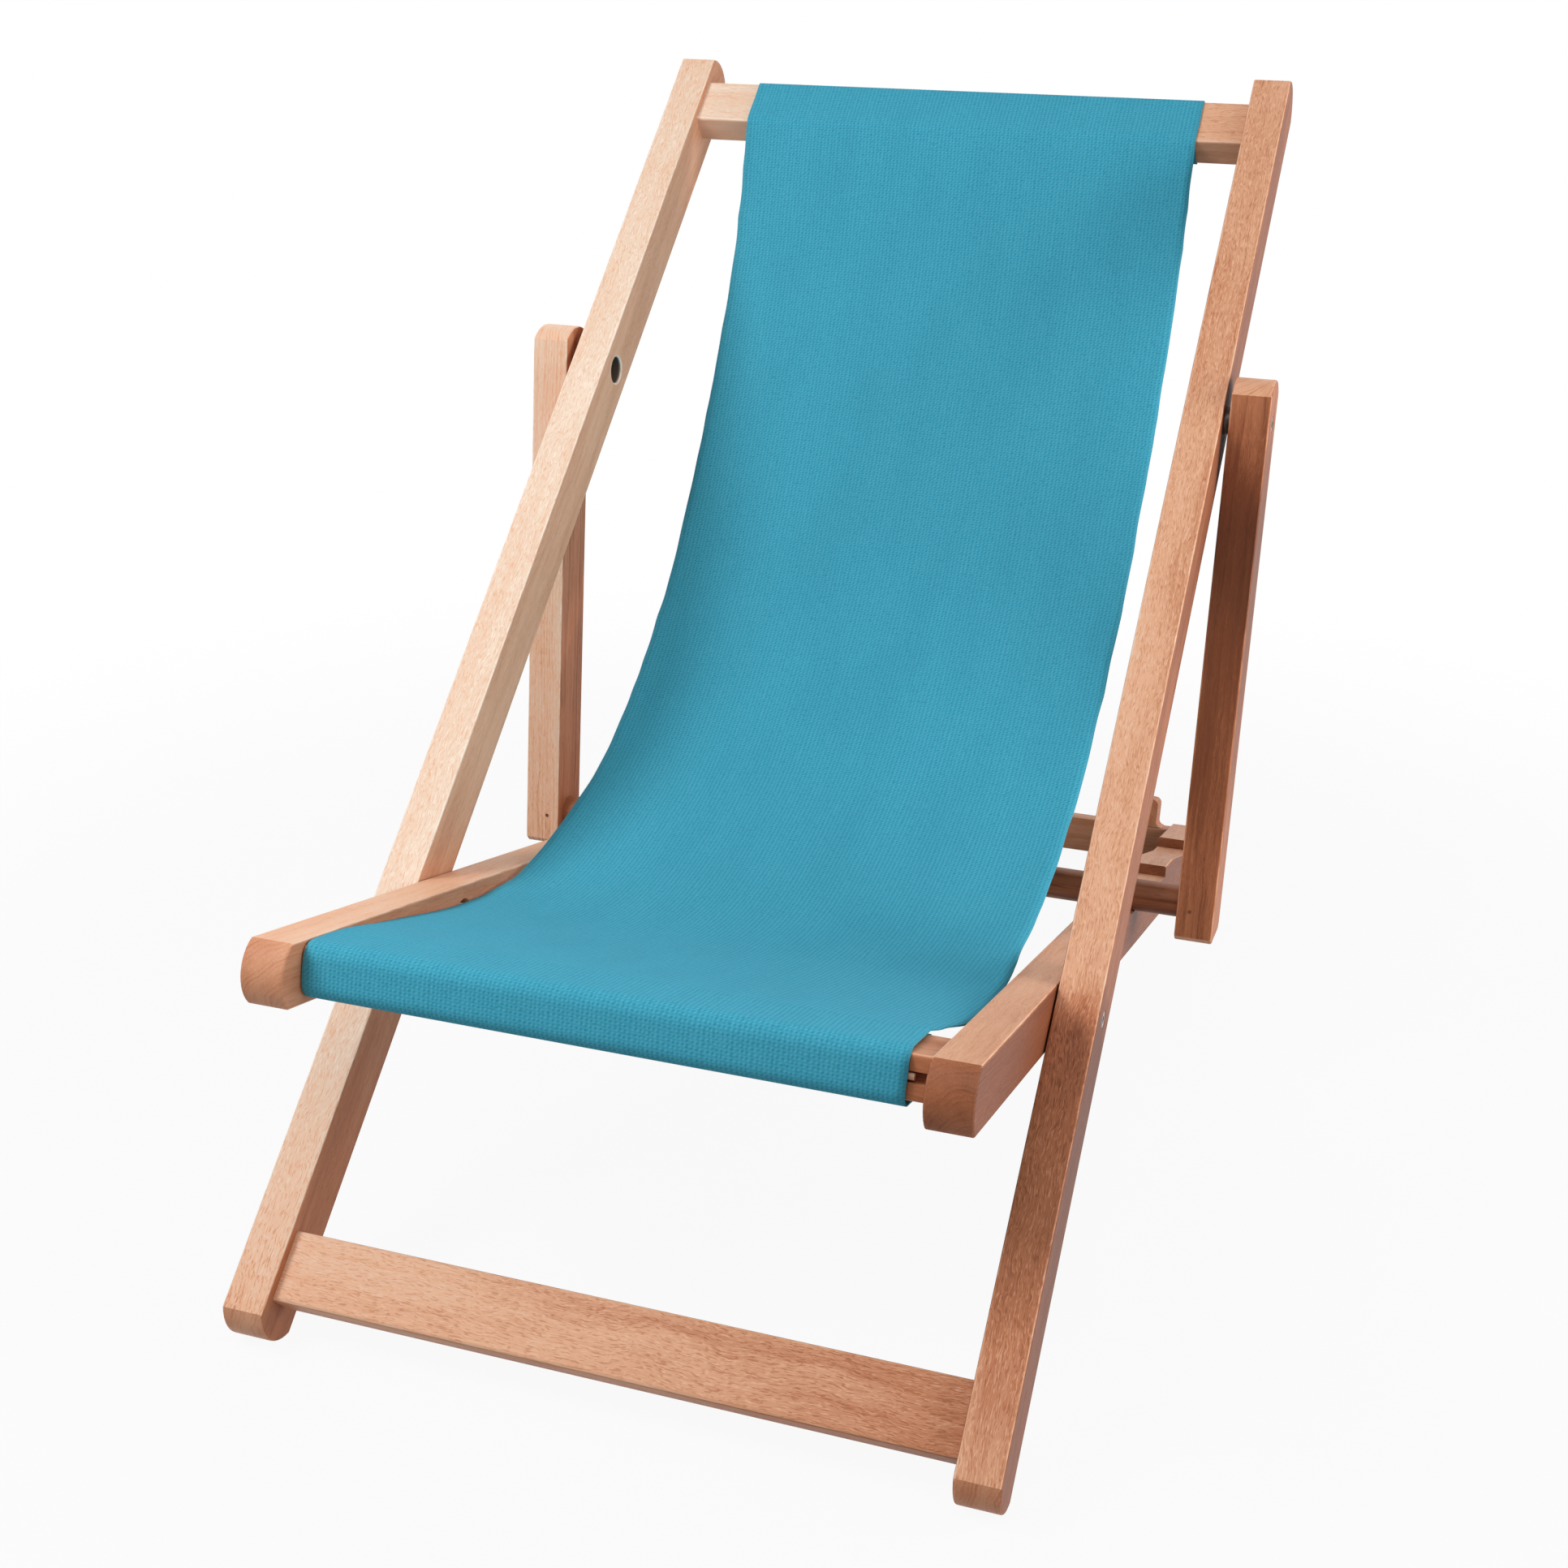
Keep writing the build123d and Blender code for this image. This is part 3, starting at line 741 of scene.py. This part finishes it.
def smooth_line(points):
    """A smooth curve through the points, with tangents from their neighbours."""
    tangents = []
    for index in range(len(points)):
        before = points[max(index - 1, 0)]
        after = points[min(index + 1, len(points) - 1)]
        tangents.append((after - before).normalized())
    line = [points[0]]
    for index in range(len(points) - 1):
        a, b = points[index], points[index + 1]
        reach = (b - a).length / 3
        knots = (a, a + tangents[index] * reach, b - tangents[index + 1] * reach, b)
        line.extend(interpolate_bezier(*[knot.to_3d() for knot in knots], BEZIER_STEPS)[1:])
    return [point.to_2d() for point in line]


def sling_line():
    """The sling's middle line in the outer frame, in three stretches: top hem, hang and front hem."""
    (x0, _, y1), arcs = hem_corners("top_bar", OUTER, HEM_OFF_TOP, HEM_SAG_TOP, HEM_ROUND_TOP)
    tuck = Vector((x0, y1 - HEM_TUCK))
    leave = Vector((x0 + HEM_LEAVE, y1))
    top = [tuck, *arcs[LOWER_LEFT], *arcs[LOWER_RIGHT], *arcs[UPPER_RIGHT], leave]
    (_, x1, y1), arcs = hem_corners("front_bar", SEAT, HEM_OFF_FRONT, HEM_SAG_FRONT, HEM_ROUND_FRONT)
    arrive = Vector((x1 - HEM_LEAVE, y1))
    tuck = Vector((x1, y1 - HEM_TUCK))
    front = [arrive, *arcs[UPPER_LEFT], *arcs[LOWER_LEFT], *arcs[LOWER_RIGHT], tuck]
    turn = Matrix.Rotation(-RECLINE, 2)
    front = [turn @ point for point in front]
    hang = smooth_line([leave, *[Vector(point) for point in SLING_HANG], front[0]])
    return resampled(top, HEM_STEP), resampled(hang, HANG_STEP), resampled(front, HEM_STEP)


def edge_place(knots, share):
    """Where an edge lies across the chair: straight between two knots, eased between more."""
    for (a, low), (b, high) in zip(knots, knots[1:]):
        if share <= b:
            part = (share - a) / (b - a)
            return low + (high - low) * (part if len(knots) == 2 else part * part * (3 - 2 * part))
    return knots[-1][1]


def hung_offsets(across, width, along, loose):
    """How far a point of the cloth stands off its line, and how far its edge's wave moves it across."""
    inward = min(across, width - across)
    on_left = across * 2 < width
    edge_part = LEFT_EDGE_PART if on_left else RIGHT_EDGE_PART
    ripple = noise.noise(Vector((across * RIPPLE_ACROSS, along * RIPPLE_ALONG, RIPPLE_PART))) * RIPPLE
    flutter = noise.noise(Vector((FLUTTER_PART, along * FLUTTER_ALONG, edge_part))) * FLUTTER
    lift = loose * (ripple + flutter * math.exp(-inward / FLUTTER_REACH))
    wave = abs(noise.noise(Vector((along * EDGE_WAVE_ALONG, EDGE_WAVE_PART, edge_part)))) * EDGE_WAVE
    wave *= math.exp(-inward / EDGE_WAVE_REACH) * (1 if on_left else -1)
    return lift, wave


def sling_points(line, lengths, hang_from, hang_to):
    """Points of both faces of the sheet, row by row, skewed a little across the chair as it hangs, and
    their places in the cloth: across it, along it and in from its nearest edge."""
    points = []
    cloth = []
    for row, middle in enumerate(line):
        ahead = line[min(row + 1, len(line) - 1)] - line[max(row - 1, 0)]
        normal = Vector((ahead.y, -ahead.x)).normalized()
        share = min(max((row - hang_from) / (hang_to - hang_from), 0), 1)
        loose = math.sin(math.pi * share)
        left = edge_place(SLING_LEFT, share)
        width = edge_place(SLING_RIGHT, share) - left
        along = lengths[row]
        for column in range(COLUMNS + 1):
            across = column / COLUMNS * width
            to_edge = min(across, width - across, along, lengths[-1] - along)
            lift, wave = hung_offsets(across, width, along, loose)
            for side in (1, -1):
                spot = middle + normal * (lift + side * SLING_THICK / 2)
                points.append(OUTER @ Vector((left + across + wave, spot.x, spot.y)))
                cloth.append((across, along, to_edge))
    return points, cloth


def sling_faces(rows):
    """Faces of both sides of the sheet and of its rim, and which of them are smooth."""
    faces = []
    smooth = []

    def corner(row, column, side):
        return (row * (COLUMNS + 1) + column) * 2 + side

    def rim(first, second, turn):
        """The strip between the two faces along one edge of the sheet."""
        faces.append([corner(*first, 0), corner(*second, 0), corner(*second, 1), corner(*first, 1)][::turn])
        smooth.append(False)

    for row in range(rows - 1):
        for column in range(COLUMNS):
            ring = [(row, column), (row, column + 1), (row + 1, column + 1), (row + 1, column)]
            faces.append([corner(r, c, 0) for r, c in reversed(ring)])
            faces.append([corner(r, c, 1) for r, c in ring])
            smooth += [True, True]
        for column, turn in ((0, -1), (COLUMNS, 1)):
            rim((row, column), (row + 1, column), turn)
    for column in range(COLUMNS):
        for row, turn in ((0, 1), (rows - 1, -1)):
            rim((row, column), (row, column + 1), turn)
    return faces, smooth


def make_sling(material):
    """The canvas sheet with both faces and its rim, and the length of its cloth."""
    top, hang, front = sling_line()
    line = top + hang[1:] + front[1:]
    lengths = [0.0]
    for a, b in zip(line, line[1:]):
        lengths.append(lengths[-1] + (b - a).length)
    points, cloth = sling_points(line, lengths, len(top), len(top) + len(hang) - 1)
    faces, smooth = sling_faces(len(line))
    mesh = bpy.data.meshes.new("canvas_sling")
    mesh.from_pydata(points, [], faces)
    mesh.validate()
    mesh.update()
    attribute = mesh.attributes.new("cloth", "FLOAT_VECTOR", "POINT")
    attribute.data.foreach_set("vector", [value for entry in cloth for value in entry])
    mesh.polygons.foreach_set("use_smooth", smooth)
    mesh.materials.append(material)
    sling = bpy.data.objects.new("canvas_sling", mesh)
    scene.collection.objects.link(sling)
    return sling, lengths[-1]


def cover(node, material):
    """Give a CAD node this material alone."""
    mesh = frame["nodes"][node].data
    mesh.materials.clear()
    mesh.materials.append(material)


def dress():
    """Give every CAD node but the sling its material."""
    for node, entry in WOOD.items():
        cover(node, beech(node, **entry))
    zinc = metal("zinc_steel", *ZINC_STEEL)
    others = {
        "dowel_brads": metal("brown_iron", *BROWN_IRON),
        "strut_pivot_spacers": metal("dark_steel", *DARK_STEEL),
    }
    for node in frame["nodes"]:
        if node not in WOOD and node != "sling":
            cover(node, others.get(node, zinc))


# Studio: floor, background and light
SKY_LEVEL = 0.22
SKY_WHITE = 1.0
FLOOR_SIZE = 12.0
FLOOR_COLOUR = (0.50, 0.50, 0.50, 1)
FLOOR_WHITE = 0.93
SHADOW_NEAR = 0.6
SHADOW_FAR = 1.4
LAMP_AIM = Vector((0.0, 0.0, 0.35))

# Soft boxes: place, size and power
LAMPS = {
    "key": (Vector((-1.00, -1.00, 1.60)), 0.8, 19),
    "top": (Vector((0.25, -1.40, 2.15)), 1.6, 12),
    "side": (Vector((1.75, 0.00, 0.48)), 1.6, 29),
    "back": (Vector((-0.40, 1.90, 1.60)), 1.6, 12),
}


def seen(nodes):
    """1 for rays that show the background: from the camera, off gloss or through glass."""
    path = nodes.add("ShaderNodeLightPath").outputs
    direct = nodes.math("MAXIMUM", path["Is Camera Ray"], path["Is Glossy Ray"])
    return nodes.math("MAXIMUM", direct, path["Is Transmission Ray"])


def make_floor():
    """A pale floor that keeps the shadow under the chair and fades to white around it."""
    shader = Shader("floor")
    place = shader.add("ShaderNodeTexCoord").outputs["Object"]
    away = shader.vector_math("LENGTH", place)
    white = shader.step(away, SHADOW_NEAR, SHADOW_FAR, FLOOR_WHITE, 1.0)
    glow = shader.add("ShaderNodeEmission").outputs[0]
    shader.set(Base_Color=FLOOR_COLOUR, Roughness=0.9, Specular_IOR_Level=0.0)
    mixed = shader.add("ShaderNodeMixShader")
    shader.plug(mixed.inputs[0], shader.times(white, seen(shader)))
    shader.plug(mixed.inputs[1], shader.surface.outputs[0])
    shader.plug(mixed.inputs[2], glow)
    shader.plug(shader.tree.nodes["Material Output"].inputs["Surface"], mixed.outputs[0])
    mesh = bpy.data.meshes.new("floor")
    h = FLOOR_SIZE
    mesh.from_pydata([(-h, -h, 0), (h, -h, 0), (h, h, 0), (-h, h, 0)], [], [(0, 1, 2, 3)])
    mesh.materials.append(shader.material)
    floor = bpy.data.objects.new("floor", mesh)
    scene.collection.objects.link(floor)


def make_sky():
    """Even light from all round, white where it is seen."""
    world = bpy.data.worlds.new("studio")
    world.use_nodes = True
    scene.world = world
    nodes = Nodes(world.node_tree)
    back = world.node_tree.nodes["Background"]
    back.inputs["Color"].default_value = (1, 1, 1, 1)
    nodes.plug(back.inputs["Strength"], nodes.span(seen(nodes), 0.0, 1.0, SKY_LEVEL, SKY_WHITE))


def make_lamps():
    """A key soft box at the upper left and others overhead, at the right and behind."""
    for name, (place, size, power) in LAMPS.items():
        data = bpy.data.lights.new(name, "AREA")
        data.shape = "DISK"
        data.size = size
        data.energy = power
        lamp = bpy.data.objects.new(name, data)
        lamp.location = place
        lamp.rotation_euler = (LAMP_AIM - place).to_track_quat("-Z", "Y").to_euler()
        lamp.visible_camera = False
        scene.collection.objects.link(lamp)


def make_camera():
    """The photograph's camera."""
    data = bpy.data.cameras.new("photo_camera")
    data.lens = CAMERA_LENS
    data.sensor_width = CAMERA_SENSOR
    camera = bpy.data.objects.new("photo_camera", data)
    look = (CAMERA_AIM - CAMERA_PLACE).to_track_quat("-Z", "Y").to_matrix().to_4x4()
    camera.matrix_world = Matrix.Translation(CAMERA_PLACE) @ look @ Matrix.Rotation(CAMERA_ROLL, 4, "Z")
    scene.collection.objects.link(camera)
    scene.camera = camera


dress()
sling, sling_long = make_sling(canvas())
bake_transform(sling)
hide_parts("sling")

make_floor()
make_sky()
make_lamps()
make_camera()

scene.view_settings.view_transform = "Standard"
